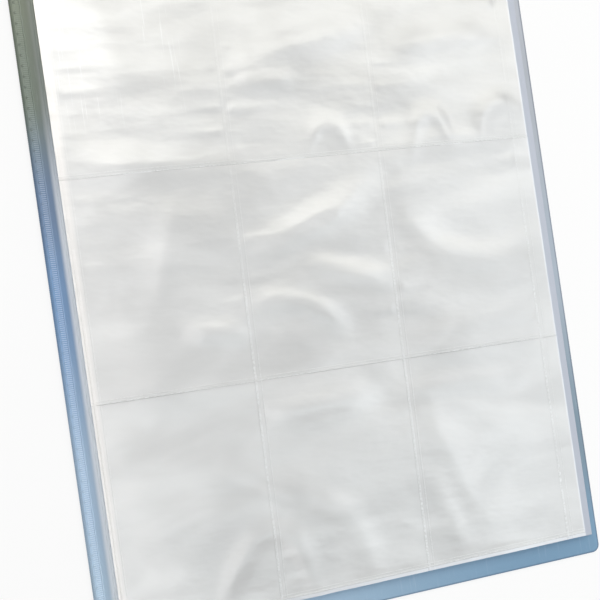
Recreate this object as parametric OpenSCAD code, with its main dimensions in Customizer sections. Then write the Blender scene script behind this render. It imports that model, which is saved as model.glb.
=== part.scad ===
// Card album, open at its first leaf with the front cover folded right round beneath the back cover.
// The cover is one plastic sheet in three panels with two living hinges. Each leaf is a back film with
// three rows of pocket films welded to it, and it turns on the round seam along its root.
// Origin: centre of the footprint, on the underside. +X runs from the spine to the fore edge,
// +Y from foot to head, +Z up. All sizes in millimetres.

/* [Cards and pockets] */
// Width of the card a pocket is made for
card_w = 63; // [55:1:75]
// Height of the card a pocket is made for
card_h = 88; // [80:1:100]
// Free width in a pocket beside the card
slack_w = 2; // [2:0.5:6]
// Free height in a pocket above the card
slack_h = 2.5; // [2:0.5:6]
// Width of a weld seam
weld_w = 2; // [1.2:0.1:4]
// Open strip between a pocket's mouth and the row above it
mouth_gap = 1.2; // [0.6:0.1:3]

/* [Leaves] */
// Thickness of the film behind the pockets
back_t = 0.1; // [0.06:0.01:0.3]
// Thickness of the film in front of the pockets
front_t = 0.08; // [0.06:0.01:0.3]
// Depth of a pocket from film to film
pocket_depth = 0.34; // [0.32:0.02:0.8]
// Air between one leaf and the next
leaf_air = 0.1; // [0.06:0.02:0.3]
// Plain edge of a leaf above and below its pockets
leaf_lip = 1.5; // [0.5:0.5:6]
// Plain edge of a leaf between its root seam and its first weld
leaf_gutter = 0.5; // [0.3:0.1:6]
// Plain edge of a leaf between its last weld and its fore edge
fore_lip = 5; // [0.5:0.5:8]
// How far each leaf's root lies behind the root of the leaf above it
leaf_step = 0.8; // [0:0.1:1.2]

/* [Cover] */
// Thickness of the cover sheet
cover_t = 0.9; // [0.5:0.1:1.6]
// Air between the two covers when one is folded back under the other
fold_air = 0.3; // [0.2:0.1:1]
// Cover beyond the lowest leaf at the fore edge
fore_margin = 4.5; // [4:0.5:14]
// Cover beyond the leaves at the head and at the foot
end_margin = 10; // [4:0.5:14]
// Radius of the cover's fore edge corners
corner_r = 3.5; // [1:0.5:4]
// Spare height under the closed front cover, for cards in the pockets
fill_room = 1.8; // [0.6:0.1:6]

/* [Spine] */
// Width of the ribbed band beside the fold, from the fold's outer edge
band_w = 4.2; // [3:0.1:6]
// Depth of the ribbed band below the spine's face
band_depth = 0.12; // [0.05:0.01:0.3]
// Width of the ridge that closes the ribbed band
ridge_w = 0.6; // [0.3:0.1:1]
// Height of the ridge above the spine's face
ridge_h = 0.2; // [0.1:0.05:0.4]

/* [Hidden] */
leaves = 8;
columns = 3;
rows = 3;
$fn = 64;

// running gaps at the hinges and between the stacked leaves, and the break where two seams meet
fold_clear = 0.15;
crease_clear = 0.15;
root_clear = 0.05;
film_clear = 0.04;
leaf_seat = 0.06;
spine_clear = 0.25;
weld_break = 0.1;

// one leaf
pitch_w = card_w + slack_w + weld_w;
pitch_h = card_h + slack_h + weld_w;
pocket_field_w = columns * pitch_w + weld_w;
row_film_w = pocket_field_w + fore_lip;
pocket_field_h = rows * pitch_h;
leaf_t = back_t + pocket_depth + front_t;
leaf_pitch = leaf_t + leaf_air;
leaf_h = pocket_field_h + 2 * leaf_lip;
root_r = leaf_pitch / 2 - root_clear;
film_start = root_r + film_clear;

// heights of the sheets at rest
front_z = 0;
back_z = cover_t + fold_air;
bed_z = back_z + cover_t;
first_leaf_z = bed_z + leaf_seat;
stack_top = first_leaf_z + (leaves - 1) * leaf_pitch + leaf_t;

// hinge axes, measured from the fold's outer edge
fold_r = cover_t + fold_air / 2;
fold_axis_u = fold_r;
fold_axis_z = fold_r;
crease_r = cover_t / 2 - 0.03;
crease_axis_z = back_z + cover_t / 2;
spine_span = stack_top + fill_room + fold_r - crease_axis_z;
crease_axis_u = fold_axis_u + spine_span;
root_axis_u = crease_axis_u + cover_t / 2 + ridge_h + spine_clear + root_r;
field_u = root_axis_u + film_start + leaf_gutter;

// outline of the album
cover_w = field_u + row_film_w + (leaves - 1) * leaf_step + fore_margin;
cover_h = leaf_h + 2 * end_margin;
crease_half = cover_t / 2 + crease_clear;
front_start_u = fold_axis_u + fold_r + fold_clear;
front_end_u = fold_axis_u + cover_w - crease_axis_u + crease_axis_z - fold_axis_z;
spine_start_u = fold_axis_u + fold_r + 0.02;
spine_end_u = crease_axis_u - crease_half;
back_start_u = crease_axis_u + crease_half;

sheet_blue = [0.50, 0.65, 0.77];
hinge_grey = [0.52, 0.57, 0.55];
crease_pale = [0.78, 0.82, 0.88];
film_white = [0.90, 0.91, 0.92];
film_tint = [0.82, 0.85, 0.87];
weld_white = [0.95, 0.96, 0.97];

function two_digits(i) = i < 10 ? str("0", i) : str(i);
function leaf_name(i, piece) = str("leaf_", two_digits(i), "_", piece);
// leaf 1 lies on top, the last leaf lies on the back cover
function leaf_z(i) = first_leaf_z + (leaves - i) * leaf_pitch;
// the roots step back towards the fore edge from the top leaf down
function leaf_root_u(i) = root_axis_u + (i - 1) * leaf_step;

COVER_NODES = ["back_cover", "rear_hinge", "spine_panel", "front_hinge", "front_cover"];
LEAF_PIECES = ["back_film", "head_pockets", "middle_pockets", "foot_pockets", "welds"];

// moves a shape from the fold's outer edge and the foot of the cover to the album's own origin
module in_album(z = 0) {
    translate([-cover_w / 2, -cover_h / 2, z])
        children();
}

// flat panel with its two fore edge corners rounded
module panel(start_u, end_u) {
    linear_extrude(height = cover_t)
        union() {
            translate([start_u, 0])
                square([end_u - corner_r - start_u, cover_h]);
            translate([end_u - 2 * corner_r, corner_r])
                square([2 * corner_r, cover_h - 2 * corner_r]);
            for (v = [corner_r, cover_h - corner_r])
                translate([end_u - corner_r, v])
                    circle(r = corner_r);
        }
}

// round bar along the album's height
module bar_along_y(r, length) {
    rotate([-90, 0, 0])
        cylinder(r = r, h = length);
}

module back_cover() {
    color(sheet_blue)
        in_album(back_z)
            panel(back_start_u, cover_w);
}

module rear_hinge() {
    color(crease_pale)
        in_album(crease_axis_z)
            translate([crease_axis_u, 0, 0])
                bar_along_y(crease_r, cover_h);
}

module spine_panel() {
    color(sheet_blue)
        in_album(back_z)
            union() {
                translate([spine_start_u, 0, 0])
                    cube([spine_end_u - spine_start_u, cover_h, cover_t - band_depth]);
                translate([band_w, 0, 0])
                    cube([spine_end_u - band_w, cover_h, cover_t]);
                translate([band_w, 0, 0])
                    cube([ridge_w, cover_h, cover_t + ridge_h]);
            }
}

module front_hinge() {
    color(hinge_grey)
        in_album(fold_axis_z)
            translate([fold_axis_u, 0, 0])
                bar_along_y(fold_r, cover_h);
}

module front_cover() {
    color(sheet_blue)
        in_album(front_z)
            panel(front_start_u, front_end_u);
}

// places a leaf's piece by the leaf's root axis and its lower edge
module on_leaf(i, above = 0) {
    in_album(leaf_z(i) + above)
        translate([leaf_root_u(i), end_margin, 0])
            children();
}

module leaf_back_film(i) {
    color(film_white)
        on_leaf(i)
            translate([film_start, 0, 0])
                cube([leaf_gutter + row_film_w, leaf_h, back_t]);
}

// one row of pocket film, row 0 at the foot, open along its upper edge
module leaf_row_film(i, row) {
    color(film_tint)
        on_leaf(i, back_t + pocket_depth)
            translate([film_start + leaf_gutter, leaf_lip + row * pitch_h, 0])
                cube([row_film_w, pitch_h - mouth_gap, front_t]);
}

// seams between the films, with the round root seam that the leaf turns on
module leaf_welds(i) {
    color(weld_white)
        on_leaf(i) {
            translate([0, 0, leaf_t / 2])
                bar_along_y(root_r, leaf_h);
            translate([film_start + leaf_gutter, leaf_lip, back_t]) {
                for (c = [0 : columns])
                    translate([c * pitch_w, 0, 0])
                        cube([weld_w, pocket_field_h - mouth_gap, pocket_depth]);
                for (c = [0 : columns - 1])
                    for (row = [0 : rows - 1])
                        translate([c * pitch_w + weld_w + weld_break, row * pitch_h, 0])
                            cube([pitch_w - weld_w - 2 * weld_break, weld_w, pocket_depth]);
            }
        }
}

back_cover();
rear_hinge();
spine_panel();
front_hinge();
front_cover();
for (i = [1 : leaves]) {
    leaf_back_film(i);
    leaf_row_film(i, 2);
    leaf_row_film(i, 1);
    leaf_row_film(i, 0);
    leaf_welds(i);
}
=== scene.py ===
"""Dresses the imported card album: a shaded cover sheet with a ribbed fold, and eight clear pocket leaves.

Everything is in metres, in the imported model's own frame: +X runs from the spine to the fore edge, +Y from
the foot to the head and +Z up. At rest the album lies open at its first leaf, with the front cover folded
right round beneath the back cover.
"""
import logging
import math
from collections.abc import Sequence
from dataclasses import dataclass, field
from enum import Enum, IntEnum

import bmesh
import bpy
import numpy as np
from mathutils import Matrix, Vector


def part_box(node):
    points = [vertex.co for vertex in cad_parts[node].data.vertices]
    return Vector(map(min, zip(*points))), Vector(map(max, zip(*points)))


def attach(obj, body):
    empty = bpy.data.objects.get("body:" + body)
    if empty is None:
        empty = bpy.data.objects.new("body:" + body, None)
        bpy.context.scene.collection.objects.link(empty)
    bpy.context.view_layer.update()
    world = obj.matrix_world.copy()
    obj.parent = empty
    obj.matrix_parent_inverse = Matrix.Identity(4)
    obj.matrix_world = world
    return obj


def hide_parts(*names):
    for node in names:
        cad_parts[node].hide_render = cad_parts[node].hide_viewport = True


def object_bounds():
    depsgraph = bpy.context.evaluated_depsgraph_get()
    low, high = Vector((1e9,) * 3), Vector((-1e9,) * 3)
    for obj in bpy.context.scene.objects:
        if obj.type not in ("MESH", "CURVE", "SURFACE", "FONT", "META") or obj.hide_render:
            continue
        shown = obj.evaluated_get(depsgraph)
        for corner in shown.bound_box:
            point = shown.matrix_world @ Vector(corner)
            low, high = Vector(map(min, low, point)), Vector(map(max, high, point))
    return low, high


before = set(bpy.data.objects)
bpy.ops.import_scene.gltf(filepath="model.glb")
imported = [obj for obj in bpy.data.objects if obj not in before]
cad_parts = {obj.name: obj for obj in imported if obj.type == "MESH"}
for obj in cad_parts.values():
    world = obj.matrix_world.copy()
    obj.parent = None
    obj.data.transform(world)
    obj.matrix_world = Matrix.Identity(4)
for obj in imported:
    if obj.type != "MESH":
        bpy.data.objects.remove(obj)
CAD_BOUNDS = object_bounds()

LOG = logging.getLogger("card_album")
MM = 0.001
LEAF_COUNT = 8
LEAF_MAP = "pocket_field"
EDGE_LIGHT_SHADE = "edge_film"
CORNER = 3.5 * MM  # radius of the cover's fore corners
RIB_PITCH = 0.85 * MM  # along the spine's band and the fold
TOUCH = 1e-6  # points this close, in metres, count as one

Pair = tuple[float, float]
Triple = tuple[float, float, float]
Rgb = Triple
Rgba = tuple[float, float, float, float]
Feed = bpy.types.NodeSocket | float | Rgba


def linear(rgb: Rgb) -> Rgba:
    """Turns a display colour into the colour a shader takes.

    Args:
        rgb: red, green and blue from 0 to 255, as a screen shows them.

    Returns:
        The linear colour with a full alpha.
    """
    parts = [c / 255 for c in rgb]
    return (*[c / 12.92 if c <= 0.04045 else ((c + 0.055) / 1.055) ** 2.4 for c in parts], 1.0)


def smooth(value: np.ndarray, low: float, high: float) -> np.ndarray:
    """Rises smoothly from 0 at low to 1 at high.

    Args:
        value: the numbers to place between the two ends.
        low: where the rise starts.
        high: where the rise ends.

    Returns:
        A number from 0 to 1 for each value.
    """
    t = np.clip((value - low) / (high - low), 0.0, 1.0)
    return t * t * (3.0 - 2.0 * t)


class Slot(Enum):
    """The record's material slots."""

    COVER = "cover_sheet"
    FOLD = "fold"
    CREASE = "crease"
    BACK_FILM = "back_film"
    POCKET_FILM = "pocket_film"
    WELD = "weld_seam"


class Row(Enum):
    """The three rows of pockets on a leaf, counted up from the foot."""

    FOOT = 0
    MIDDLE = 1
    HEAD = 2

    @property
    def piece(self) -> str:
        """The row's part of a node name."""
        return f"{self.name.lower()}_pockets"


# ---- Shader wiring ----


class Wiring:
    """Adds nodes to one shader tree and joins them."""

    def __init__(self, tree: bpy.types.NodeTree) -> None:
        """Keeps the tree that is wired."""
        self.tree = tree

    def feed(self, socket: bpy.types.NodeSocket, value: Feed) -> None:
        """Links a socket to another one, or sets its own value."""
        if isinstance(value, bpy.types.NodeSocket):
            self.tree.links.new(value, socket)
        else:
            socket.default_value = value

    def node(self, kind: str, **feeds: Feed) -> bpy.types.Node:
        """Adds a node and fills its inputs.

        Args:
            kind: the node's type name without its ShaderNode start.
            feeds: what goes into each input, with _ for a space in its name.

        Returns:
            The new node.
        """
        made = self.tree.nodes.new(f"ShaderNode{kind}")
        for name, value in feeds.items():
            self.feed(made.inputs[name.replace("_", " ")], value)
        return made

    def math(self, operation: str, *values: Feed, clamp: bool = False) -> bpy.types.NodeSocket:
        """Adds a Math node and returns its result."""
        made = self.tree.nodes.new("ShaderNodeMath")
        made.operation = operation
        made.use_clamp = clamp
        for socket, value in zip(made.inputs, values):
            self.feed(socket, value)
        return made.outputs[0]

    def span(self, value: Feed, low: float, high: float, at_low: float = 0.0,
             at_high: float = 1.0) -> bpy.types.NodeSocket:
        """Maps a value smoothly from one range to another.

        Args:
            value: the number to map.
            low: the value that gives at_low.
            high: the value that gives at_high.
            at_low: the result at and below low.
            at_high: the result at and above high.

        Returns:
            The mapped value.
        """
        made = self.tree.nodes.new("ShaderNodeMapRange")
        made.interpolation_type = "SMOOTHSTEP"
        for socket, number in zip(made.inputs, (value, low, high, at_low, at_high)):
            self.feed(socket, number)
        return made.outputs[0]

    def mix(self, blend: str, factor: Feed, first: Feed, second: Feed) -> bpy.types.NodeSocket:
        """Mixes two colours and returns the result."""
        made = self.tree.nodes.new("ShaderNodeMix")
        made.data_type = "RGBA"
        made.blend_type = blend
        colours = [s for s in made.inputs if s.type == "RGBA"]
        self.feed(made.inputs[0], factor)
        self.feed(colours[0], first)
        self.feed(colours[1], second)
        return next(s for s in made.outputs if s.type == "RGBA")

    def ramp(self, factor: Feed, stops: Sequence[tuple[float, Rgb]]) -> bpy.types.NodeSocket:
        """Colours a value along a row of stops.

        Args:
            factor: a value from 0 to 1.
            stops: places from 0 to 1 with their display colours.

        Returns:
            The colour.
        """
        made = self.node("ValToRGB", Fac=factor)
        made.color_ramp.interpolation = "EASE"
        marks = made.color_ramp.elements
        while len(marks) < len(stops):
            marks.new(0.5)
        for mark, (place, colour) in zip(marks, stops):
            mark.position = place
            mark.color = linear(colour)
        return made.outputs["Color"]

    def noise(self, vector: Feed, scale: float, detail: float = 2.0,
              warp: float = 0.0) -> bpy.types.NodeSocket:
        """Adds a Noise Texture and returns its value."""
        made = self.node("TexNoise", Vector=vector, Scale=scale, Detail=detail, Distortion=warp)
        return made.outputs[0]

    def stretched(self, vector: Feed, scale: Triple, turn: float = 0.0) -> bpy.types.NodeSocket:
        """Stretches a place, then turns it about Z, and returns it."""
        about_z = (0.0, 0.0, math.radians(turn))
        return self.node("Mapping", Vector=vector, Scale=scale, Rotation=about_z).outputs[0]

    def axes(self, vector: Feed) -> Sequence[bpy.types.NodeSocket]:
        """Splits a place into its X, Y and Z."""
        return self.node("SeparateXYZ", Vector=vector).outputs

    def place(self) -> bpy.types.NodeSocket:
        """The Object coordinates of a piece."""
        return self.node("TexCoord").outputs["Object"]

    def bump(self, height: Feed, distance: float) -> bpy.types.NodeSocket:
        """Turns a height into a normal that stands up to distance metres."""
        return self.node("Bump", Height=height, Strength=1.0, Distance=distance).outputs[0]


class EffectGroup:
    """A shader node group with a Place input, further named values and named outputs."""

    def __init__(self, name: str, values: Sequence[str], outputs: Sequence[tuple[str, str]]) -> None:
        """Makes the group's sockets.

        Args:
            name: the group's name.
            values: the names of its number inputs.
            outputs: its outputs, each with a name and a socket kind, Float or Color.
        """
        self.tree = bpy.data.node_groups.new(name, "ShaderNodeTree")
        face = self.tree.interface
        face.new_socket("Place", in_out="INPUT", socket_type="NodeSocketVector")
        for value in values:
            face.new_socket(value, in_out="INPUT", socket_type="NodeSocketFloat")
        for output, kind in outputs:
            face.new_socket(output, in_out="OUTPUT", socket_type=f"NodeSocket{kind}")
        self.wires = Wiring(self.tree)
        self.inputs = self.tree.nodes.new("NodeGroupInput").outputs
        self.outputs = self.tree.nodes.new("NodeGroupOutput").inputs

    def scaled_place(self) -> bpy.types.NodeSocket:
        """The group's Place times its Scale."""
        made = self.wires.node("VectorMath")
        made.operation = "SCALE"
        self.wires.feed(made.inputs[0], self.inputs["Place"])
        self.wires.feed(made.inputs["Scale"], self.inputs["Scale"])
        return made.outputs[0]

    def use(self, wires: Wiring, place: Feed, **values: float) -> Sequence[bpy.types.NodeSocket]:
        """Places the group in a material.

        Args:
            wires: the material's wiring.
            place: the coordinates to read.
            values: numbers for its other inputs.

        Returns:
            The group's outputs.
        """
        made = wires.tree.nodes.new("ShaderNodeGroup")
        made.node_tree = self.tree
        wires.feed(made.inputs["Place"], place)
        for name, value in values.items():
            wires.feed(made.inputs[name], value)
        return made.outputs


@dataclass(frozen=True)
class SheetShading:
    """The plain shading of the cover sheet: two runs of colour from foot to head, one at each side, holding
    painted light and shade with its own colour.
    """

    spine_side: tuple[tuple[float, Rgb], ...] = (
        (0.0, (188, 213, 233)), (0.22, (176, 202, 229)), (0.5, (122, 159, 203)),
        (0.64, (111, 138, 174)), (0.78, (117, 129, 117)), (1.0, (134, 142, 121)))
    fore_side: tuple[tuple[float, Rgb], ...] = (
        (0.0, (128, 163, 192)), (0.18, (126, 147, 163)), (0.46, (167, 178, 191)),
        (0.72, (176, 181, 190)), (1.0, (194, 197, 206)))
    drift: float = 0.07
    drift_scale: float = 14.0
    spine_margin: float = 8 * MM
    fore_margin: float = 20 * MM

    def group(self) -> EffectGroup:
        """Builds the group that gives the sheet's colour from a place on it."""
        made = EffectGroup("sheet_shading", (), (("Colour", "Color"),))
        wires, place = made.wires, made.inputs["Place"]
        low, high = (Vector(corner) for corner in CAD_BOUNDS)
        x, y, _ = wires.axes(place)
        cloud = wires.math("MULTIPLY_ADD", wires.noise(place, self.drift_scale), self.drift, -self.drift / 2)
        up = wires.node("MapRange", Value=y, From_Min=low.y, From_Max=high.y).outputs[0]
        height = wires.math("ADD", up, cloud)
        across = wires.span(x, low.x + self.spine_margin, high.x - self.fore_margin)
        wires.feed(made.outputs["Colour"], wires.mix(
            "MIX", across, wires.ramp(height, self.spine_side), wires.ramp(height, self.fore_side)))
        return made


@dataclass(frozen=True)
class SheetGrain:
    """The fine matte grain and the rubbed streaks of moulded plastic sheet, in scales per metre."""

    pebble: float = 1600.0
    pebble_share: float = 0.6
    speck: float = 700.0
    rub: Triple = (900.0, 60.0, 60.0)
    rub_turn: float = 12.0
    rub_from: Pair = (0.56, 0.78)

    def group(self) -> EffectGroup:
        """Builds the group, with a Grain height and a Rub mask."""
        made = EffectGroup("sheet_grain", ("Scale",), (("Grain", "Float"), ("Rub", "Float")))
        wires, scaled = made.wires, made.scaled_place()
        pebble = wires.node("TexVoronoi", Vector=scaled, Scale=self.pebble).outputs["Distance"]
        speck = wires.noise(scaled, self.speck, detail=3.0)
        wires.feed(made.outputs["Grain"], wires.math("MULTIPLY_ADD", pebble, self.pebble_share, speck))
        streak = wires.noise(wires.stretched(made.inputs["Place"], self.rub, self.rub_turn), 1.0, detail=4.0)
        wires.feed(made.outputs["Rub"], wires.span(streak, *self.rub_from))
        return made


@dataclass(frozen=True)
class FilmHaze:
    """The marks of clear film: haze mottled with painted shade and sheen, smudges, crinkles and hair scratches,
    in scales per metre.
    """

    cloud: Triple = (19.0, 36.0, 19.0)
    cloud_turn: float = 75.0
    cloud_warp: float = 0.9
    cloud_from: Pair = (0.30, 0.70)
    smudge: float = 90.0
    smudge_from: Pair = (0.42, 0.74)
    broad: Triple = (38.0, 75.0, 38.0)
    broad_turn: float = 9.0
    broad_share: float = 1.3
    fine: Triple = (120.0, 230.0, 120.0)
    fine_turn: float = -14.0
    fine_share: float = 0.05
    fold: Triple = (15.0, 33.0, 15.0)
    fold_turn: float = 12.0
    fold_share: float = 4.8
    hair: Triple = (1500.0, 40.0, 40.0)
    hair_turn: float = 24.0
    hair_from: Pair = (0.62, 0.68)
    worn: float = 30.0
    worn_from: Pair = (0.44, 0.54)
    worn_x: Pair = (-38 * MM, -52 * MM)
    worn_y: Pair = (62 * MM, 80 * MM)

    def group(self) -> EffectGroup:
        """Builds the group, with masks for the haze mottle with its painted sheen, the smudges and the
        scratches, and a Crinkle height.
        """
        made = EffectGroup("film_haze", ("Scale",), (
            ("Cloud", "Float"), ("Smudge", "Float"), ("Crinkle", "Float"), ("Scratch", "Float")))
        wires, place = made.wires, made.scaled_place()

        def drawn(stretch: Triple, turn: float, detail: float, warp: float = 0.0) -> bpy.types.NodeSocket:
            """Noise that is drawn out along the film."""
            return wires.noise(wires.stretched(place, stretch, turn), 1.0, detail, warp)

        billow = drawn(self.cloud, self.cloud_turn, 2.0, self.cloud_warp)
        wires.feed(made.outputs["Cloud"], wires.span(billow, *self.cloud_from))
        smudge = wires.noise(place, self.smudge, detail=5.0)
        wires.feed(made.outputs["Smudge"], wires.span(smudge, *self.smudge_from))
        broad = wires.math("MULTIPLY", drawn(self.broad, self.broad_turn, 3.0), self.broad_share)
        fine = wires.math("MULTIPLY_ADD", drawn(self.fine, self.fine_turn, 4.0), self.fine_share, broad)
        fold = drawn(self.fold, self.fold_turn, 1.0)
        wires.feed(made.outputs["Crinkle"], wires.math("MULTIPLY_ADD", fold, self.fold_share, fine))
        x, y, _ = wires.axes(made.inputs["Place"])
        worn = wires.math("MULTIPLY", wires.span(x, *self.worn_x), wires.span(y, *self.worn_y))
        patch = wires.span(wires.noise(place, self.worn, detail=1.0), *self.worn_from)
        hair = wires.span(drawn(self.hair, self.hair_turn, 2.0), *self.hair_from)
        wires.feed(made.outputs["Scratch"], wires.math("MULTIPLY", hair, wires.math("MULTIPLY", patch, worn)))
        return made


@dataclass(frozen=True)
class SheetFinish:
    """A finish of the cover sheet: its own shading, made lighter or darker by painted light and shade, with a
    satin grain.
    """

    name: str
    shade: float = 1.0
    pale: float = 0.0
    pale_and_sheen_colour: Rgb = (242, 248, 255)
    roughness: float = 0.42
    grain: float = 0.02 * MM
    dots: float = 0.0
    shaded_edge_of: str = ""
    scored: float = 0.0
    ior: float = 1.49
    rub_pale: float = 0.10
    rub_rough: float = 0.12
    dot_tint: Rgba = (0.55, 0.57, 0.56, 1.0)
    dot_line: float = 2.1 * MM
    dot_pitch: float = 2.2 * MM
    dot_rim: Pair = (0.75 * MM, 0.35 * MM)
    dot_run: Pair = (20 * MM, 90 * MM)
    dot_least: float = 0.25
    whitening_and_sheen_run: Pair = (25 * MM, 95 * MM)
    whitening_and_sheen_least: float = 0.15
    score_rim: Pair = (2.9 * MM, 0.8 * MM)
    edge_shade_tint: Rgba = (0.58, 0.60, 0.64, 1.0)
    edge_shade_rim: Pair = (0.95 * MM, 0.35 * MM)

    def material(self, shading: EffectGroup, grain: EffectGroup) -> bpy.types.Material:
        """Builds the material.

        Args:
            shading: the group that colours the sheet.
            grain: the group for its grain.

        Returns:
            The finished material.
        """
        made, wires, body = new_material(self.name)
        place = wires.place()
        colour = shading.use(wires, place)["Colour"]
        height, rub = grain.use(wires, place, Scale=1.0)
        pale = linear(self.pale_and_sheen_colour)
        colour = wires.mix("MULTIPLY", 1.0, colour, (self.shade, self.shade, self.shade, 1.0))
        whitening_and_sheen = self.whitening_and_sheen_mask(wires, place)
        # Paler: on the crease, its whitening with painted highlight on it; on the ribs and the ridge, painted
        # highlight only.
        if self.pale:
            colour = wires.mix("MIX", wires.math("MULTIPLY", whitening_and_sheen, self.pale), colour, pale)
        colour = wires.mix("MIX", wires.math("MULTIPLY", rub, self.rub_pale), colour, pale)
        # Painted light: the whitening beside the crease is made brighter where the leaves' stack shades it.
        if self.scored:
            strength = wires.math("MULTIPLY", whitening_and_sheen, self.scored)
            white = wires.math("MULTIPLY", self.score_whitening_and_light_mask(wires, place), strength)
            colour = wires.mix("MIX", white, colour, pale)
        if self.dots:
            mask = wires.math("MULTIPLY", self.dot_mask(wires, place), self.dots)
            colour = wires.mix("MULTIPLY", mask, colour, self.dot_tint)
        # Painted shade: a darker line along the panel's free edges stands in for the cover's side and the shade
        # under it.
        if self.shaded_edge_of:
            colour = wires.mix("MULTIPLY", self.painted_edge_shade(wires, place), colour, self.edge_shade_tint)
        wires.feed(body.inputs["Base Color"], colour)
        wires.feed(body.inputs["Roughness"], wires.math("MULTIPLY_ADD", rub, self.rub_rough, self.roughness))
        wires.feed(body.inputs["Normal"], wires.bump(height, self.grain))
        body.inputs["IOR"].default_value = self.ior
        return made

    def whitening_and_sheen_mask(self, wires: Wiring, place: Feed) -> bpy.types.NodeSocket:
        """Marks how far the sheet is made paler, for its whitening where folded and for painted highlight,
        least at the head, and returns the mask.
        """
        return wires.span(wires.axes(place)[1], *self.whitening_and_sheen_run, 1.0, self.whitening_and_sheen_least)

    def dot_mask(self, wires: Wiring, place: Feed) -> bpy.types.NodeSocket:
        """Marks a row of small dots along the ribbed band, and returns the mask."""
        x, y, _ = wires.axes(place)
        across = wires.math("ABSOLUTE", wires.math("SUBTRACT", x, CAD_BOUNDS[0][0] + self.dot_line))
        along = wires.math("PINGPONG", y, self.dot_pitch)
        spot = wires.math("MULTIPLY", wires.span(across, *self.dot_rim), wires.span(along, *self.dot_rim))
        return wires.math("MULTIPLY", spot, wires.span(y, *self.dot_run, self.dot_least, 1.0))

    def score_whitening_and_light_mask(self, wires: Wiring, place: Feed) -> bpy.types.NodeSocket:
        """Marks the sheet beside the scored crease, whitened there by the crease and painted brighter where the
        stack shades it, and returns the mask.
        """
        low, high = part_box("rear_hinge")
        away = wires.math("SUBTRACT", wires.axes(place)[0], (low.x + high.x) / 2)
        return wires.span(wires.math("ABSOLUTE", away), *self.score_rim)

    def painted_edge_shade(self, wires: Wiring, place: Feed) -> bpy.types.NodeSocket:
        """Marks a line of painted shade along a panel's free edges, round corners included, and returns the
        mask.
        """
        _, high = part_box(self.shaded_edge_of)
        x, y, _ = wires.axes(place)
        squares = []
        for value, end in ((x, high.x), (wires.math("ABSOLUTE", y), high.y)):
            over = wires.math("MAXIMUM", wires.math("SUBTRACT", value, end - CORNER), 0.0)
            squares.append(wires.math("POWER", over, 2.0))
        reach = wires.math("SQRT", wires.math("ADD", *squares))
        return wires.span(reach, *(CORNER - rim for rim in self.edge_shade_rim))


@dataclass(frozen=True)
class FilmFinish:
    """A finish of clear plastic film, told by how milky, how glossy and how crinkled it is."""

    name: str
    colour: Rgb
    milky: float
    roughness: float
    crinkle: float
    seam_light: float = 0.0
    coat: float = 0.0
    gloss: float = 0.5
    lip_glow_colour: Rgb = (241, 243, 248)
    root_glow_colour: Rgb = (254, 251, 249)
    clouding: float = 0.04
    seam_colour: Rgba = (0.95, 0.96, 0.97, 1.0)
    scratch_light: float = 0.7
    smudge_rough: float = 0.04
    knurl: float = 0.35
    ior: float = 1.5
    coat_rough: float = 0.22
    coat_ior: float = 1.8

    def material(self, haze: EffectGroup, seams: EffectGroup) -> bpy.types.Material:
        """Builds the material.

        Args:
            haze: the group for clouding, smudges, crinkles and scratches.
            seams: the group that marks the weld lines.

        Returns:
            The finished material.
        """
        made, wires, body = new_material(self.name)
        place = wires.place()
        marks = haze.use(wires, place, Scale=1.0)
        base = linear(self.colour)
        # The film's uneven haze, with painted shade and highlight mixed in that stand in for the reflections of
        # its wrinkles.
        dim = tuple(c * (1.0 - self.clouding) for c in base[:3]) + (1.0,)
        colour = wires.mix("MIX", marks["Cloud"], dim, base)
        chart = wires.node("UVMap")
        chart.uv_map = LEAF_MAP
        line, knurl, lip_glow, root = seams.use(wires, chart.outputs["UV"])
        bright = wires.math("MAXIMUM", wires.math("MULTIPLY", line, self.seam_light),
                            wires.math("MULTIPLY", marks["Scratch"], self.scratch_light))
        colour = wires.mix("MIX", bright, colour, self.seam_colour)
        # Painted glow: the fore edge and foot are made paler for the light that the film's cut edges catch and
        # pipe.
        colour = wires.mix("MIX", lip_glow, colour, linear(self.lip_glow_colour))
        # The welded root margin is whiter than the film, and painted brighter and warmer still as highlight for
        # the light it catches.
        colour = wires.mix("MIX", root, colour, linear(self.root_glow_colour))
        wires.feed(body.inputs["Base Color"], colour)
        wires.feed(body.inputs["Roughness"], wires.math(
            "MULTIPLY_ADD", marks["Smudge"], self.smudge_rough, self.roughness))
        relief = wires.math("MULTIPLY_ADD", knurl, self.knurl * self.seam_light, marks["Crinkle"])
        wires.feed(body.inputs["Normal"], wires.bump(relief, self.crinkle))
        for name, value in (("Alpha", self.milky), ("IOR", self.ior), ("Specular IOR Level", self.gloss),
                            ("Coat Weight", self.coat), ("Coat Roughness", self.coat_rough),
                            ("Coat IOR", self.coat_ior)):
            body.inputs[name].default_value = value
        return made


def new_material(name: str) -> tuple[bpy.types.Material, Wiring, bpy.types.Node]:
    """Starts a node material.

    Args:
        name: the material's name.

    Returns:
        The material, its wiring and its Principled BSDF.
    """
    made = bpy.data.materials.new(name)
    made.use_nodes = True
    return made, Wiring(made.node_tree), made.node_tree.nodes["Principled BSDF"]


# ---- Mesh helpers ----


def add_block(bm: bmesh.types.BMesh, low: Vector, high: Vector) -> list[bmesh.types.BMVert]:
    """Adds a box between two corners and returns its vertices."""
    place = Matrix.Translation((low + high) / 2) @ Matrix.Diagonal((*(high - low), 1.0))
    return bmesh.ops.create_cube(bm, size=1.0, matrix=place)["verts"]


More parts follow.
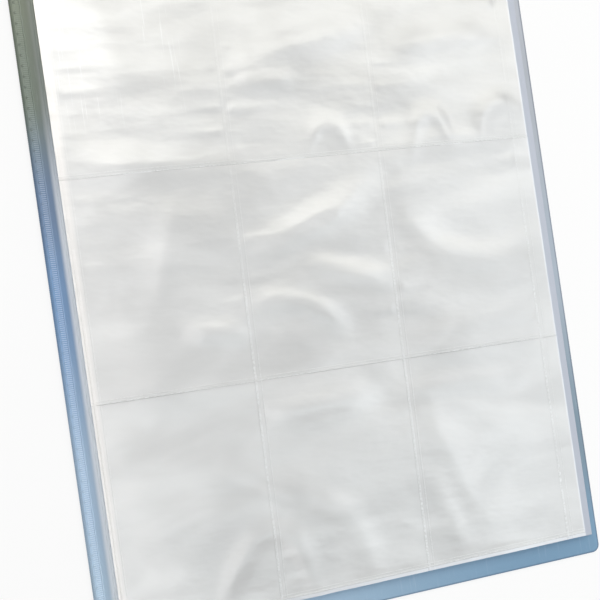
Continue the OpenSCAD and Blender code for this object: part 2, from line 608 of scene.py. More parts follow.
def add_grid(bm: bmesh.types.BMesh, low: Vector, high: Vector, cell: float) -> None:
    """Adds a flat grid at the height of high, with square cells of about the given size."""
    size = high - low
    centre = Vector(((low.x + high.x) / 2, (low.y + high.y) / 2, high.z))
    bmesh.ops.create_grid(
        bm, x_segments=max(1, round(size.x / cell)), y_segments=max(1, round(size.y / cell)), size=0.5,
        matrix=Matrix.Translation(centre) @ Matrix.Diagonal((size.x, size.y, 1.0, 1.0)))


def pull(bm: bmesh.types.BMesh, faces: Sequence[bmesh.types.BMFace], way: Triple) -> None:
    """Extrudes open faces along a way in metres, and turns all faces outwards."""
    grown = bmesh.ops.extrude_face_region(bm, geom=faces)["geom"]
    bmesh.ops.translate(bm, verts=[v for v in grown if isinstance(v, bmesh.types.BMVert)], vec=way)
    bmesh.ops.recalc_face_normals(bm, faces=bm.faces[:])


def round_off(bm: bmesh.types.BMesh, edges: Sequence[bmesh.types.BMEdge], offset: float, segments: int) -> None:
    """Bevels edges round, by an offset in metres."""
    bmesh.ops.bevel(bm, geom=edges, offset=offset, offset_type="OFFSET", segments=segments, profile=0.5,
                    affect="EDGES", material=-1)


def run_of(edge: bmesh.types.BMEdge, axis: int) -> float:
    """How far an edge runs along an axis: 0 for X, 1 for Y and 2 for Z."""
    return abs(edge.verts[0].co[axis] - edge.verts[1].co[axis])


def rib_run(low: Vector, high: Vector) -> tuple[float, int]:
    """The place of the first rib's middle along Y, and the number of ribs."""
    count = int((high.y - low.y) / RIB_PITCH)
    return (low.y + high.y - (count - 1) * RIB_PITCH) / 2, count


def new_piece(name: str, bm: bmesh.types.BMesh, materials: Sequence[bpy.types.Material],
              sharp: float = 40.0) -> bpy.types.Object:
    """Makes an object at the origin from a bmesh.

    Args:
        name: the piece's name.
        bm: the finished bmesh, which is freed.
        materials: the piece's materials, in the order that its faces count them.
        sharp: edges that turn more than this many degrees stay sharp.

    Returns:
        The new object.
    """
    mesh = bpy.data.meshes.new(name)
    bm.to_mesh(mesh)
    bm.free()
    for material in materials:
        mesh.materials.append(material)
    mesh.shade_smooth()
    mesh.set_sharp_from_angle(angle=math.radians(sharp))
    made = bpy.data.objects.new(name, mesh)
    bpy.context.scene.collection.objects.link(made)
    return made


def settle(piece: bpy.types.Object, body: str, slot: Slot, *nodes: str) -> None:
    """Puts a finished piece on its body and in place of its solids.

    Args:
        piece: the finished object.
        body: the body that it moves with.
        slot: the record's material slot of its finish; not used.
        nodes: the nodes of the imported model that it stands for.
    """
    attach(piece, body)
    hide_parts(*nodes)
    LOG.info("%s rides on %s, %d faces", piece.name, body, len(piece.data.polygons))


# ---- Cover ----


@dataclass
class CoverPanel:
    """A flat panel of the cover, square at its hinge, with round fore corners and eased edges.

    An edge counts as a rim where its faces turn more than rim_turn, in radians.
    """

    node: str
    body: str
    ease: float = 0.16 * MM
    rim_turn: float = 1.0

    def build(self, sheet: bpy.types.Material) -> None:
        """Builds the panel in place of its solid, and dresses it in the given sheet."""
        low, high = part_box(self.node)
        middle = (low + high) / 2
        bm = bmesh.new()
        add_block(bm, low, high)
        posts = [e for e in bm.edges if run_of(e, 2) > self.ease and e.verts[0].co.x > middle.x]
        round_off(bm, posts, CORNER, segments=8)
        rims = [e for e in bm.edges if run_of(e, 2) < self.ease and e.calc_face_angle(0.0) > self.rim_turn]
        round_off(bm, rims, self.ease, segments=2)
        settle(new_piece(f"{self.node}_sheet", bm, [sheet]), self.body, Slot.COVER, self.node)


class SpinePart(IntEnum):
    """The parts of the spine panel, in the order of its materials."""

    STRIP = 0
    BAND = 1
    RIDGE = 2
    RIBS = 3


@dataclass
class Spine:
    """The spine panel: a sunk band of fine cross ribs, a ridge beside it and a flat strip."""

    band: float = 4.2 * MM
    band_depth: float = 0.12 * MM
    ridge_width: float = 0.6 * MM
    ridge_height: float = 0.2 * MM
    ridge_round: float = 0.18 * MM
    rib_width: float = 0.42 * MM
    rib_bed: float = 0.05 * MM
    rib_start: float = 2.1 * MM
    rib_ease: float = 0.06 * MM
    fold_radius: float = 1.05 * MM

    def build(self, dress: Sequence[bpy.types.Material]) -> None:
        """Builds the panel in place of its solid, with its band run on to the top of the fold.

        Args:
            dress: the materials of the panel's parts, in the order of SpinePart.
        """
        low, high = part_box("spine_panel")
        face = high.z - self.ridge_height
        bed = face - self.band_depth
        edge = CAD_BOUNDS[0][0]
        start = edge + self.band
        end = start + self.ridge_width
        low.x = edge + self.fold_radius
        outline = ((low.x, low.z), (high.x, low.z), (high.x, face), (end, face), (end, high.z),
                   (start, high.z), (start, bed), (low.x, bed))
        bm = bmesh.new()
        bottom = bm.faces.new([bm.verts.new((x, low.y, z)) for x, z in outline])
        pull(bm, [bottom], (0.0, high.y - low.y, 0.0))
        crown = [e for e in bm.edges
                 if all(v.co.z > high.z - TOUCH for v in e.verts) and run_of(e, 1) > self.band]
        round_off(bm, crown, self.ridge_round, segments=3)
        for part in bm.faces:
            x = part.calc_center_median().x
            part.material_index = (SpinePart.STRIP if x > end
                                   else SpinePart.RIDGE if x > start - TOUCH else SpinePart.BAND)
        self.add_ribs(bm, Vector((edge + self.rib_start, low.y, bed)), Vector((start, high.y, face)))
        settle(new_piece("spine_panel_ribbed", bm, dress), "spine", Slot.COVER, "spine_panel")

    def add_ribs(self, bm: bmesh.types.BMesh, low: Vector, high: Vector) -> None:
        """Adds the cross ribs that stand in the sunk band.

        Args:
            bm: the spine's bmesh.
            low: the band's lowest corner.
            high: the band's highest corner, at the level of the ribs' tops.
        """
        first, count = rib_run(low, high)
        rib = bmesh.new()
        add_block(rib, Vector((low.x, first - self.rib_width / 2, low.z - self.rib_bed)),
                  Vector((high.x - self.rib_ease, first + self.rib_width / 2, high.z)))
        tops = [e for e in rib.edges if all(v.co.z > high.z - TOUCH for v in e.verts)]
        round_off(rib, tops, self.rib_ease, segments=1)
        for part in rib.faces:
            part.material_index = SpinePart.RIBS
        stamp = bpy.data.meshes.new("rib_stamp")
        for _ in range(count):
            rib.to_mesh(stamp)
            bm.from_mesh(stamp)
            bmesh.ops.translate(rib, verts=rib.verts[:], vec=(0.0, RIB_PITCH, 0.0))
        rib.free()
        bpy.data.meshes.remove(stamp)


@dataclass
class RibbedFold:
    """The fold between the spine and the front cover: a round living hinge with rings in line with the ribs."""

    rib_width: float = 0.45 * MM
    groove: float = 0.05 * MM
    steps: int = 20
    sharp: float = 50.0

    def build(self, fold: bpy.types.Material) -> None:
        """Turns the ringed bar about the fold's axis, and dresses it in the given material."""
        low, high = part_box("front_hinge")
        axis = (low + high) / 2
        radius = (high.z - low.z) / 2
        first, count = rib_run(low, high)
        path = [(0.0, low.y), (radius - self.groove, low.y)]
        for step in range(count):
            middle = first + step * RIB_PITCH
            for side, reach in ((-0.5, self.groove), (-0.25, 0.0), (0.25, 0.0), (0.5, self.groove)):
                path.append((radius - reach, middle + side * self.rib_width))
        path += [(radius - self.groove, high.y), (0.0, high.y)]
        bm = bmesh.new()
        points = [bm.verts.new((axis.x + out, along, axis.z)) for out, along in path]
        edges = [bm.edges.new(pair) for pair in zip(points, points[1:])]
        bmesh.ops.spin(bm, geom=points + edges, cent=axis, axis=(0.0, 1.0, 0.0), angle=math.tau,
                       steps=self.steps, use_merge=True)
        bmesh.ops.remove_doubles(bm, verts=bm.verts[:], dist=TOUCH)
        bmesh.ops.recalc_face_normals(bm, faces=bm.faces[:])
        settle(new_piece("front_hinge_ringed", bm, [fold], self.sharp), "spine", Slot.FOLD, "front_hinge")


@dataclass
class Crease:
    """The scored crease between the spine and the back cover: a thin web with a groove pressed along it."""

    sides: int = 32
    groove: float = 0.04 * MM
    groove_share: float = 0.2
    shoulder: float = 0.5
    half_width: float = 0.62 * MM
    half_height: float = 0.45 * MM
    sharp: float = 60.0

    def build(self, crease: bpy.types.Material) -> None:
        """Extrudes the web along the crease's axis, and dresses it in the given material."""
        low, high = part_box("rear_hinge")
        axis = (low + high) / 2
        bm = bmesh.new()
        turn = Matrix.Translation((axis.x, low.y, axis.z)) @ Matrix.Rotation(math.radians(90), 4, "X")
        oval = Matrix.Diagonal((self.half_width, self.half_height, 1.0, 1.0))
        bmesh.ops.create_circle(bm, cap_ends=True, segments=self.sides, radius=1.0, matrix=turn @ oval)
        for vert in bm.verts:
            out = (vert.co.x - axis.x) / self.half_width
            up = (vert.co.z - axis.z) / self.half_height
            vert.co.x = axis.x + math.copysign(self.half_width * abs(out) ** self.shoulder, out)
            vert.co.z = axis.z + math.copysign(self.half_height * abs(up) ** self.shoulder, up)
            if abs(out) < self.groove_share:
                vert.co.z -= math.copysign(self.groove, up)
        pull(bm, bm.faces[:], (0.0, high.y - low.y, 0.0))
        settle(new_piece("rear_hinge_web", bm, [crease], self.sharp), "back", Slot.CREASE, "rear_hinge")


@dataclass
class Cover:
    """The whole cover sheet with its finishes."""

    # Lit and shaded copies of one sheet: the strip is painted darker for the stack's shade, and the fold darker
    # for the shade on its round.
    # The ribs and the ridge are painted paler as highlight; the crease and the sheet beside it are whitened,
    # partly by the crease and partly as painted light.
    strip: SheetFinish = SheetFinish("sheet_spine_strip", shade=0.81, scored=0.85)
    band: SheetFinish = SheetFinish("sheet_fold_band", shade=0.98, roughness=0.38, dots=1.0)
    ribs: SheetFinish = SheetFinish("sheet_ribs", shade=1.05, pale=0.26, roughness=0.38)
    ridge: SheetFinish = SheetFinish("sheet_ridge", pale=0.12, roughness=0.38)
    back: SheetFinish = SheetFinish("sheet_back", shaded_edge_of="back_cover", scored=0.95)
    front: SheetFinish = SheetFinish("sheet_front", shaded_edge_of="front_cover")
    fold: SheetFinish = SheetFinish("sheet_fold", shade=0.74, roughness=0.40, dots=0.8)
    crease: SheetFinish = SheetFinish("sheet_crease", pale=0.95, roughness=0.40)

    def build(self) -> None:
        """Builds the panels and hinges and dresses them."""
        shading, grain = SheetShading().group(), SheetGrain().group()

        def dressed(finish: SheetFinish) -> bpy.types.Material:
            """The finish's material."""
            return finish.material(shading, grain)

        CoverPanel("back_cover", "back").build(dressed(self.back))
        CoverPanel("front_cover", "front").build(dressed(self.front))
        Spine().build([dressed(part) for part in (self.strip, self.band, self.ridge, self.ribs)])
        RibbedFold().build(dressed(self.fold))
        Crease().build(dressed(self.crease))


# ---- Leaves ----


@dataclass(frozen=True)
class Crest:
    """A soft fold in the film, raised along a shallow arc, in millimetres on the field of pockets."""

    at: Pair
    length: float
    width: float
    height: float
    turn: float = 0.0
    bow: float = 0.0

    def rise(self, x: np.ndarray, y: np.ndarray) -> np.ndarray:
        """The fold's height at places on the field, in millimetres."""
        c, s = math.cos(math.radians(self.turn)), math.sin(math.radians(self.turn))
        along = (x - self.at[0]) * c + (y - self.at[1]) * s
        across = (y - self.at[1]) * c - (x - self.at[0]) * s
        run = 2.0 * along / self.length
        lean = 4.0 * self.bow * run / self.length
        off = (across - self.bow * (1.0 - run * run)) / np.sqrt(1.0 + lean * lean)
        return self.height * np.exp(-(off / self.width) ** 2 - run ** 4)


@dataclass(frozen=True)
class FilmRelief:
    """How the stacked films lie, in millimetres: a slow swell, slack and folds in the pockets, and puckers.

    The grid of pockets lies a little askew on the leaf, while the leaf's own edges run true.
    """

    pitch_w: float = 67.0
    pitch_h: float = 92.5
    weld: float = 2.0
    columns: int = 3
    field: float = 208.0
    slack: float = 0.20
    pucker: float = 0.42
    pucker_reach: float = 11.0
    swell: float = 0.09
    lean: float = 0.025
    lean_from: float = 100.0
    tilt: float = 0.0105
    most: float = 1.48
    slack_hold: float = 8.0
    pucker_hold: float = 2.5
    pucker_run: Pair = (40.0, 120.0)
    mouth_hold: float = 2.0
    tilt_run: float = 40.0
    root_calm: float = 45.0
    crests: tuple[Crest, ...] = (
        Crest((38, 186.5), 60, 8, 1.1, -2, 1),
        Crest((24, 236), 42, 9, 0.55, -80, 0),
        Crest((106, 235), 54, 7, 1.3, 11, 1),
        Crest((87, 220), 23, 4.5, 0.7, -2, 0),
        Crest((173, 232), 46, 6, 0.9, 3, 2),
        Crest((112, 192), 18, 3.5, 0.6, -2, 7.5),
        Crest((160, 192), 19, 4.5, 0.7, 2, 8),
        Crest((194, 196), 23, 5, 0.7, 32, 5),
        Crest((100, 159), 53, 7, 1.4, 22, -2.6),
        Crest((112, 135), 41, 5, 1.0, -19, 0),
        Crest((91, 118), 40, 5, 1.1, -24, 5),
        Crest((171, 142), 59, 7, 1.3, -16, -7),
        Crest((36, 149), 44, 7, 0.5, -108, 0),
        Crest((54, 115), 24, 4.5, 0.9, -8, 0),
        Crest((172, 105), 61, 6, 0.7, 7, 0),
        Crest((168, 186.5), 58, 6, 0.6, 0, 0),
        Crest((38, 93), 60, 7, 1.0, 0, 0),
        Crest((172, 93), 56, 6, 0.7, 0, 0),
        Crest((96, 79), 46, 6.5, 1.25, 4, 0),
        Crest((64, 5), 42, 5.5, 1.0, -12, 24),
        Crest((87, 25), 61, 6.5, 0.8, -42, 12),
        Crest((151, 46), 54, 7, 0.7, -69, 0),
        Crest((163, 79), 51, 5, 0.9, -2, 0),
        Crest((146, 24), 37, 5, 0.5, -71, 0))

    def lift(self, x: np.ndarray, y: np.ndarray, crimped: bool) -> np.ndarray:
        """How far the top leaf's film lies above its flat place.

        Args:
            x: millimetres from the first weld towards the fore edge.
            y: millimetres from the foot of the pockets towards the head.
            crimped: whether the film shows its own puckers too.

        Returns:
            The height in millimetres, never below 0.
        """
        loose = self.hold(x, y, self.slack_hold) * self.slackness(x, y)
        for crest in self.crests:
            loose += crest.rise(x, y)
        if crimped:
            loose += self.hold(x, y, self.pucker_hold) * self.puckers(x, y)
        return self.sway(x, y) + np.clip(loose, 0.0, self.most)

    def drift(self, x: np.ndarray, y: np.ndarray) -> tuple[np.ndarray, np.ndarray]:
        """How far the askew grid of pockets has moved, towards the fore edge and towards the head."""
        inside = np.sqrt(np.clip(np.sin(np.pi * np.clip(x / self.field, 0.0, 1.0)), 0.0, 1.0))
        return (self.lean * (y - self.lean_from) * inside,
                self.tilt * (self.field / 2 - x) * smooth(y, 0.0, self.tilt_run))

    def sway(self, x: np.ndarray, y: np.ndarray) -> np.ndarray:
        """The slow swell of the whole leaf, which dies out at its root."""
        wave = 0.5 * np.sin(x / 24.0 + 0.6) * np.sin(y / 30.0 + 1.1) + 0.4 * np.sin(y / 13.0 + x / 60.0)
        return self.swell * (1.0 + wave) * smooth(x, 0.0, self.root_calm)

    def hold(self, x: np.ndarray, y: np.ndarray, reach: float) -> np.ndarray:
        """How free the film is: 0 on a weld and 1 at a reach from one."""
        column = np.mod(x, self.pitch_w)
        beside = np.minimum(column - self.weld, self.pitch_w - column)
        free = smooth(beside, 0.0, reach) * (x < self.columns * self.pitch_w)
        return free * smooth(np.mod(y, self.pitch_h), self.weld, self.weld + self.mouth_hold)

    def slackness(self, x: np.ndarray, y: np.ndarray) -> np.ndarray:
        """The slack of the film between its welds."""
        number = np.floor(x / self.pitch_w)
        across = np.mod(x, self.pitch_w) / self.pitch_w
        up = np.mod(y, self.pitch_h) / self.pitch_h
        rise = self.slack * np.sin(np.pi * across) * (0.4 + 0.6 * np.sin(np.pi * up))
        return rise + 0.12 * np.sin(x / 7.1 + y / 5.3 + number) * np.sin(y / 8.7 - x / 19.0 + 2.0 * number)

    def puckers(self, x: np.ndarray, y: np.ndarray) -> np.ndarray:
        """The short gathers of the film beside its side welds, weaker towards the foot."""
        number = np.floor(x / self.pitch_w)
        column = np.mod(x, self.pitch_w)
        crimp = self.pucker * (0.5 + 0.5 * smooth(y, *self.pucker_run))
        rise = np.zeros_like(x)
        for side, near in ((0.0, column - self.weld), (1.7, self.pitch_w - column)):
            ripple = 0.6 * np.sin(y / 1.45 + 2.1 * number + side)
            ripple += 0.4 * np.sin(y / 2.3 - 1.3 * number + 2 * side)
            ripple *= 0.6 + 0.4 * np.sin(y / 11.0 + number + side)
            rise += crimp * np.clip(ripple, 0.0, 1.0) * np.exp(-np.abs(near) / self.pucker_reach)
        return rise


@dataclass(frozen=True)
class WeldLines:
    """The marks of a leaf's welds, and masks for the painted glow of its edges and root: lengths in
    millimetres, noise in scales per metre.

    Each line is told by its offset from the weld's middle, its half width and its strength.
    """

    relief: FilmRelief
    column_lines: tuple[Triple, ...] = ((-0.7, 0.75, 1.0), (1.6, 0.35, 0.55))
    row_lines: tuple[Triple, ...] = ((-0.6, 0.40, 0.9), (0.7, 0.35, 0.4))
    core: float = 0.3
    speck: float = 900.0
    speck_from: Pair = (0.40, 0.58)
    patch: float = 60.0
    patch_from: Pair = (0.35, 0.60)
    patch_least: float = 0.45
    faint_rows: Pair = (1.0, 2.1)
    faint_least: float = 0.2
    root_width: float = 3.4
    fore_lip: Pair = (5.5, 6.1)
    foot_lip: Pair = (0.3, -0.3)

    def group(self) -> EffectGroup:
        """Builds the group, with a broken Line, a Knurl height, a mask for the painted glow at fore edge and
        foot, and a mask for the root margin.
        """
        made = EffectGroup("weld_lines", (), (
            ("Line", "Float"), ("Knurl", "Float"), ("Lip", "Float"), ("Root", "Float")))
        wires, place = made.wires, made.inputs["Place"]
        x, y, _ = wires.axes(place)
        speck = wires.noise(wires.stretched(place, (self.speck, self.speck, self.speck)), 1.0)
        patch = wires.span(wires.noise(place, self.patch), *self.patch_from, self.patch_least, 1.0)
        broken = wires.math("MULTIPLY", wires.span(speck, *self.speck_from), patch)
        faint = wires.span(y, *(n * self.relief.pitch_h * MM for n in self.faint_rows), 1.0, self.faint_least)
        total: Feed = 0.0
        for value, pitch, lines, fade in ((x, self.relief.pitch_w, self.column_lines, faint),
                                          (y, self.relief.pitch_h, self.row_lines, 1.0)):
            from_weld = wires.math("SUBTRACT", value, self.relief.weld / 2 * MM)
            away = wires.math("WRAP", from_weld, pitch / 2 * MM, -pitch / 2 * MM)
            for offset, half, strength in lines:
                gap = wires.math("ABSOLUTE", wires.math("SUBTRACT", away, offset * MM))
                mark = wires.span(gap, half * MM, self.core * half * MM)
                mark = wires.math("MULTIPLY", mark, wires.math("MULTIPLY", fade, strength))
                total = wires.math("MAXIMUM", total, mark)
        wires.feed(made.outputs["Line"], wires.math("MULTIPLY", total, broken))
        wires.feed(made.outputs["Knurl"], wires.math("MULTIPLY", total, speck))
        wires.feed(made.outputs["Root"], wires.span(x, self.root_width * MM, 0.0))
        fore = self.relief.columns * self.relief.pitch_w + self.relief.weld
        wires.feed(made.outputs["Lip"], wires.math(
            "MAXIMUM", wires.span(x, *((fore + lip_glow) * MM for lip_glow in self.fore_lip)),
            wires.span(y, *(lip_glow * MM for lip_glow in self.foot_lip))))
        return made


@dataclass(frozen=True)
class LeafFinishes:
    """The finishes of a leaf's films and seams."""

    pocket: FilmFinish = FilmFinish("film_pocket", (241, 241, 241), 0.72, 0.28, 0.95 * MM, seam_light=0.95,
                                    coat=1.0, gloss=1.0, clouding=0.15)
    # Painted light and shade: the lower leaves' fore and foot edges take a lavender-grey for what the stacked
    # film edges show.
    edge: FilmFinish = FilmFinish("film_edge_painted_light", (200, 205, 217), 0.85, 0.40, 0.10 * MM, gloss=0.4,
                                  lip_glow_colour=(200, 205, 217))
    back: FilmFinish = FilmFinish("film_back", (239, 240, 242), 0.72, 0.36, 0.15 * MM, seam_light=0.1)
    weld: FilmFinish = FilmFinish("film_weld", (241, 242, 244), 0.80, 0.36, 0.12 * MM, seam_light=0.3)


class Step(Enum):
    """A piece's share of its own leaf's relief, from the film beneath the leaf up to its pocket film."""

    BACK = 0.5
    WELD = 0.75
    POCKET = 1.0


@dataclass
class Leaf:
    """One leaf: a back film, three rows of pocket film and the seams between them."""

    index: int
    relief: FilmRelief
    dress: dict[str, bpy.types.Material]
    fine_cell: float = 1.15 * MM
    coarse_cell: float = 3.0 * MM
    near_cell: float = 2.5 * MM
    bar_cell: float = 1.6 * MM
    weld_break: float = 0.1 * MM
    mouth_gap: float = 1.2 * MM
    root_reach: float = 1.25 * MM
    fore_reach: float = 1.4 * MM
    foot_reach: float = 1.45 * MM
    mouth_reach: float = 1.18 * MM
    edge: float = 1.9 * MM
    skew: float = 0.22
    rows: int = 3
    mouth_top: float = 0.12
    mouth_below: float = 0.04
    mouth_run: float = 9.0
    root_gap: float = 0.04 * MM
    root_film: float = 0.08 * MM
    root_share: float = 0.9
    root_sides: int = 18
    sharp: float = 80.0
    name: str = field(init=False)

    def __post_init__(self) -> None:
        """Names the leaf after its body."""
        self.name = f"leaf_{self.index:02d}"

    @property
    def origin(self) -> Vector:
        """The foot of the leaf's first weld, on its pocket film."""
        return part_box(f"{self.name}_{Row.FOOT.piece}")[0]

    @property
    def cell(self) -> float:
        """The size of the film's mesh cells, finest on the leaf that shows."""
        return {1: self.fine_cell, 2: self.near_cell}.get(self.index, self.coarse_cell)

    def share(self, step: Step) -> float:
        """The share of the relief that a film has: each film lies on the one beneath and adds a little."""
        return (LEAF_COUNT + step.value - self.index) / LEAF_COUNT

    def raise_film(self, mesh: bpy.types.Mesh, step: Step, mouth: float = 0.0) -> None:
        """Maps a mesh by its place on the pockets, then moves it up by the relief.

        Args:
            mesh: the mesh to map and move.
            step: the mesh's share of the leaf's own relief.
            mouth: how far a pocket's free edge is drawn up, in millimetres.
        """
        points = np.empty(len(mesh.vertices) * 3)
        mesh.vertices.foreach_get("co", points)
        points = points.reshape(-1, 3)
        x = (points[:, 0] - self.origin.x) / MM
        y = (points[:, 1] - self.origin.y) / MM
        corner = np.empty(len(mesh.loops), dtype=np.int32)
        mesh.loops.foreach_get("vertex_index", corner)
        chart = mesh.uv_layers.new(name=LEAF_MAP)
        chart.uv.foreach_set("vector", np.column_stack((x, y))[corner].ravel() * MM)
        crimped = self.index == 1 and step is Step.POCKET
        rise = self.share(step) * self.relief.lift(x, y, crimped)
        if mouth:
            pitch_w, pitch_h = self.relief.pitch_w, self.relief.pitch_h
            edge = smooth(np.mod(y, pitch_h), pitch_h - self.mouth_run, pitch_h)
            rise += mouth * edge * np.sin(np.pi * np.mod(x, pitch_w) / pitch_w)
        aside, along = self.relief.drift(x, y)
        points[:, 0] += aside * MM
        points[:, 1] += along * MM
        points[:, 1] -= self.skew * (self.index - 1) * np.clip(x / self.relief.field, 0.0, 1.0) * MM
        points[:, 2] += rise * MM
        mesh.vertices.foreach_set("co", points.ravel())
        mesh.update()

    def film_part(self, middle: Vector, high: Vector) -> int:
        """Tells the pocket film's plain face from the edge band of the lower leaves, painted lavender-grey for
        the light and shade on stacked film edges.

        Args:
            middle: the middle of a face.
            high: the film's high corner.

        Returns:
            The face's material index.
        """
        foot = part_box(f"{self.name}_back_film")[0].y
        at_edge = middle.x > high.x - self.edge or middle.y < foot + self.edge
        return int(at_edge and self.index > 1)

    def build_film(self, node: str, slot: Slot, cell: float, step: Step, mouth: float = 0.0) -> None:
        """Builds one film in place of its solid.

        Args:
            node: the solid's node.
            slot: the film's material slot.
            cell: the size of its mesh cells.
            step: its share of the leaf's own relief.
            mouth: how far its free edge is drawn up, in millimetres.
        """
        low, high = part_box(node)
        high.x += self.fore_reach
        films = [self.dress[slot.value]]
        bm = bmesh.new()
        if slot is Slot.POCKET_FILM:
            films.append(self.dress[EDGE_LIGHT_SHADE])
            low.x -= self.root_reach
            high.y += self.mouth_reach
            if node.endswith(Row.FOOT.piece):
                low.y -= self.foot_reach
            add_grid(bm, low, high, cell)
            bmesh.ops.bisect_plane(bm, geom=bm.verts[:] + bm.edges[:] + bm.faces[:], dist=TOUCH,
                                   plane_co=(high.x - self.edge, 0.0, high.z), plane_no=(1.0, 0.0, 0.0))
            for part in bm.faces:
                part.material_index = self.film_part(part.calc_center_median(), high)
        else:
            add_grid(bm, low, high, cell)
        pull(bm, bm.faces[:], (0.0, 0.0, low.z - high.z))
        made = new_piece(f"{node}_clear", bm, films, self.sharp)
        self.raise_film(made.data, step, mouth)
        settle(made, self.name, slot, node)

    def build_welds(self) -> None:
        """Builds the seam bars between the films and the round root seam, as one piece."""
        node = f"{self.name}_welds"
        low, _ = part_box(node)
        root_low, root_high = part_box(f"{self.name}_back_film")
        bottom, top = root_high.z, self.origin.z
        weld, pitch_w, pitch_h = (
            v * MM for v in (self.relief.weld, self.relief.pitch_w, self.relief.pitch_h))
        start = self.origin
        radius = (root_low.x - self.root_gap - low.x) / 2
        middle = Vector((low.x + radius, (root_low.y + root_high.y) / 2,
                         (root_low.z + top + self.root_film) / 2))
        bm = bmesh.new()
        for column in range(self.relief.columns + 1):
            x = start.x + column * pitch_w
            left = x if column else middle.x
            self.add_bar(bm, Vector((left, start.y, bottom)),
                         Vector((x + weld, start.y + self.rows * pitch_h - self.mouth_gap, top)))
        for column in range(self.relief.columns):
            x = start.x + column * pitch_w + weld + self.weld_break
            for row in range(self.rows):
                y = start.y + row * pitch_h
                self.add_bar(bm, Vector((x, y, bottom)),
                             Vector((x + pitch_w - weld - 2 * self.weld_break, y + weld, top)))
        bmesh.ops.create_cone(
            bm, cap_ends=True, segments=self.root_sides, radius1=self.root_share * radius,
            radius2=self.root_share * radius, depth=root_high.y - root_low.y,
            matrix=Matrix.Translation(middle) @ Matrix.Rotation(math.radians(90), 4, "X"))
        made = new_piece(f"{node}_pressed", bm, [self.dress[Slot.WELD.value]])
        self.raise_film(made.data, Step.WELD)
        settle(made, self.name, Slot.WELD, node)

    def add_bar(self, bm: bmesh.types.BMesh, low: Vector, high: Vector) -> None:
        """Adds one seam bar, cut into short lengths so that it can follow the leaf's swell."""
        size = high - low
        axis = 0 if size.x > size.y else 1
        corners = add_block(bm, low, high)
        longs = {e for v in corners for e in v.link_edges if run_of(e, axis) > size[axis] / 2}
        cuts = int(size[axis] / self.bar_cell)
        bmesh.ops.subdivide_edges(bm, edges=list(longs), cuts=cuts, use_grid_fill=True)

    def build(self) -> None:
        """Builds and dresses the whole leaf."""
        hidden_cell = max(self.cell, self.near_cell)
        self.build_film(f"{self.name}_back_film", Slot.BACK_FILM, hidden_cell, Step.BACK)
        mouth = self.mouth_top if self.index == 1 else self.mouth_below
        for row in Row:
            self.build_film(f"{self.name}_{row.piece}", Slot.POCKET_FILM, self.cell, Step.POCKET, mouth)
        self.build_welds()


def build_leaves() -> None:
    """Builds the leaves with one set of finishes."""
    relief, finishes = FilmRelief(), LeafFinishes()
    haze, seams = FilmHaze().group(), WeldLines(relief).group()
    films = {Slot.POCKET_FILM.value: finishes.pocket, EDGE_LIGHT_SHADE: finishes.edge,
             Slot.BACK_FILM.value: finishes.back, Slot.WELD.value: finishes.weld}
    dress = {name: film.material(haze, seams) for name, film in films.items()}
    for index in range(1, LEAF_COUNT + 1):
        Leaf(index, relief, dress).build()


# ---- Studio ----


def hang(data: bpy.types.Light | bpy.types.Camera, at: Triple, right: Vector,
         ahead: Vector) -> bpy.types.Object:
    """Puts a lamp or a camera in the scene.

    Args:
        data: the lamp or the camera, which also gives the object's name.
        at: its place.
        right: its own right, as a unit vector.
        ahead: where it looks, as a unit vector.

    Returns:
        The object.
    """
    made = bpy.data.objects.new(data.name, data)
    turn = Matrix((right, right.cross(ahead), -ahead)).transposed()
    made.matrix_world = Matrix.Translation(Vector(at)) @ turn.to_4x4()
    bpy.context.scene.collection.objects.link(made)
    return made


@dataclass(frozen=True)
class Softbox:
    """A soft square lamp, its width along X and its length along Y."""

    name: str
    at: Triple
    aim: Triple
    size: Pair
    power: float
    colour: Rgb = (1.0, 1.0, 1.0)

    def build(self) -> None:
        """Hangs the lamp and turns it to its aim."""
        lamp = bpy.data.lights.new(self.name, "AREA")
        lamp.shape = "RECTANGLE"
        lamp.size, lamp.size_y = self.size
        lamp.energy = self.power
        lamp.color = self.colour
        ahead = (Vector(self.aim) - Vector(self.at)).normalized()
        hang(lamp, self.at, (Vector((1.0, 0.0, 0.0)) - ahead * ahead.x).normalized(), ahead)


@dataclass(frozen=True)
class Camera:
    """The photograph's camera, told by its place, its view and its up direction."""

    at: Triple = (-0.10414, -0.01676, 0.38286)
    forward: Triple = (0.23791, 0.00642, -0.97127)
    up: Triple = (0.1379, 0.98963, 0.04032)
    lens: float = 54.0
    sensor: float = 36.0
    nearest: float = 0.01

    def build(self) -> None:
        """Makes the camera and gives it to the scene."""
        data = bpy.data.cameras.new("photo_camera")
        data.lens = self.lens
        data.sensor_width = self.sensor
        data.clip_start = self.nearest
        ahead = Vector(self.forward).normalized()
        bpy.context.scene.camera = hang(data, self.at, ahead.cross(Vector(self.up)).normalized(), ahead)


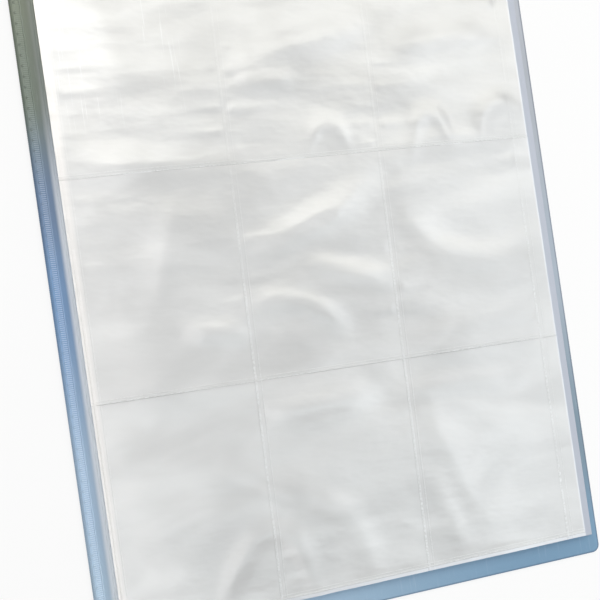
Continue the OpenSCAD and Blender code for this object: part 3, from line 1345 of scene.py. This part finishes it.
@dataclass(frozen=True)
class Studio:
    """A white floor, a pale surround and a set of softboxes."""

    ambient: float = 0.275
    surround: Rgba = (0.97, 0.985, 1.0, 1.0)
    floor_size: float = 6.0
    floor_drop: float = 0.15 * MM
    floor_colour: Rgba = (0.9, 0.9, 0.9, 1.0)
    floor_rough: float = 0.8
    floor_glow: float = 0.8
    lamps: tuple[Softbox, ...] = (
        Softbox("head_softbox", (0.20, 0.54, 0.90), (0.10, 0.15, 0.0), (1.00, 0.50), 3.6, (1.0, 0.98, 0.89)),
        Softbox("spine_softbox", (-0.22, 0.02, 0.90), (-0.15, 0.03, 0.0), (0.34, 1.25), 2.6,
                (1.0, 0.985, 0.98)),
        Softbox("corner_softbox", (-0.06, 0.40, 0.84), (-0.05, 0.05, 0.0), (0.16, 0.30), 0.2,
                (1.0, 0.98, 0.94)),
        Softbox("right_softbox", (0.60, -0.16, 0.90), (0.20, -0.08, 0.0), (0.34, 0.96), 1.7,
                (0.91, 0.965, 1.0)),
        Softbox("fore_head_softbox", (0.64, 0.32, 0.90), (0.20, 0.10, 0.0), (0.26, 0.34), 0.24,
                (1.0, 0.99, 0.96)),
        Softbox("middle_softbox", (0.20, 0.05, 0.90), (0.05, 0.0, 0.0), (0.70, 0.28), 0.34, (0.96, 0.98, 1.0)),
        Softbox("foot_softbox", (0.20, -0.34, 0.90), (0.05, -0.10, 0.0), (0.70, 0.26), 0.52,
                (0.84, 0.96, 1.0)),
        Softbox("fore_softbox", (0.80, -0.10, 0.42), (0.10, -0.02, 0.0), (0.40, 0.60), 1.2, (0.94, 0.97, 1.0)))

    def build(self) -> None:
        """Builds the floor, the surround, the lamps and the camera."""
        self.build_floor()
        self.build_surround()
        for lamp in self.lamps:
            lamp.build()
        Camera().build()
        bpy.context.scene.view_settings.view_transform = "Standard"

    def build_floor(self) -> None:
        """Lays a white floor that keeps the album's shadow."""
        made, wires, body = new_material("studio_floor")
        body.inputs["Base Color"].default_value = self.floor_colour
        body.inputs["Roughness"].default_value = self.floor_rough
        paths = wires.node("LightPath").outputs
        seen = wires.math("MAXIMUM", paths["Is Camera Ray"], paths["Is Glossy Ray"])
        glow = wires.node("Emission", Color=(1.0, 1.0, 1.0, 1.0), Strength=1.0)
        blend = wires.node("MixShader", Fac=wires.math("MULTIPLY", seen, self.floor_glow))
        wires.feed(blend.inputs[1], body.outputs[0])
        wires.feed(blend.inputs[2], glow.outputs[0])
        wires.feed(made.node_tree.nodes["Material Output"].inputs["Surface"], blend.outputs[0])
        bm = bmesh.new()
        bmesh.ops.create_grid(bm, x_segments=1, y_segments=1, size=self.floor_size / 2,
                              matrix=Matrix.Translation((0.0, 0.0, -self.floor_drop)))
        new_piece("floor", bm, [made])

    def build_surround(self) -> None:
        """Lights the scene evenly from all round, and shows white to the camera."""
        world = bpy.context.scene.world or bpy.data.worlds.new("surround")
        bpy.context.scene.world = world
        world.use_nodes = True
        wires = Wiring(world.node_tree)
        paths = wires.node("LightPath").outputs
        strength = wires.math("MULTIPLY_ADD", paths["Is Camera Ray"], 1.0 - self.ambient, self.ambient)
        back = world.node_tree.nodes["Background"]
        back.inputs["Color"].default_value = self.surround
        wires.feed(back.inputs["Strength"], strength)


def main() -> None:
    """Builds the cover, the leaves and the studio in order."""
    logging.basicConfig(level=logging.INFO, format="%(message)s")
    Cover().build()
    build_leaves()
    Studio().build()


if __name__ == "__main__":
    main()
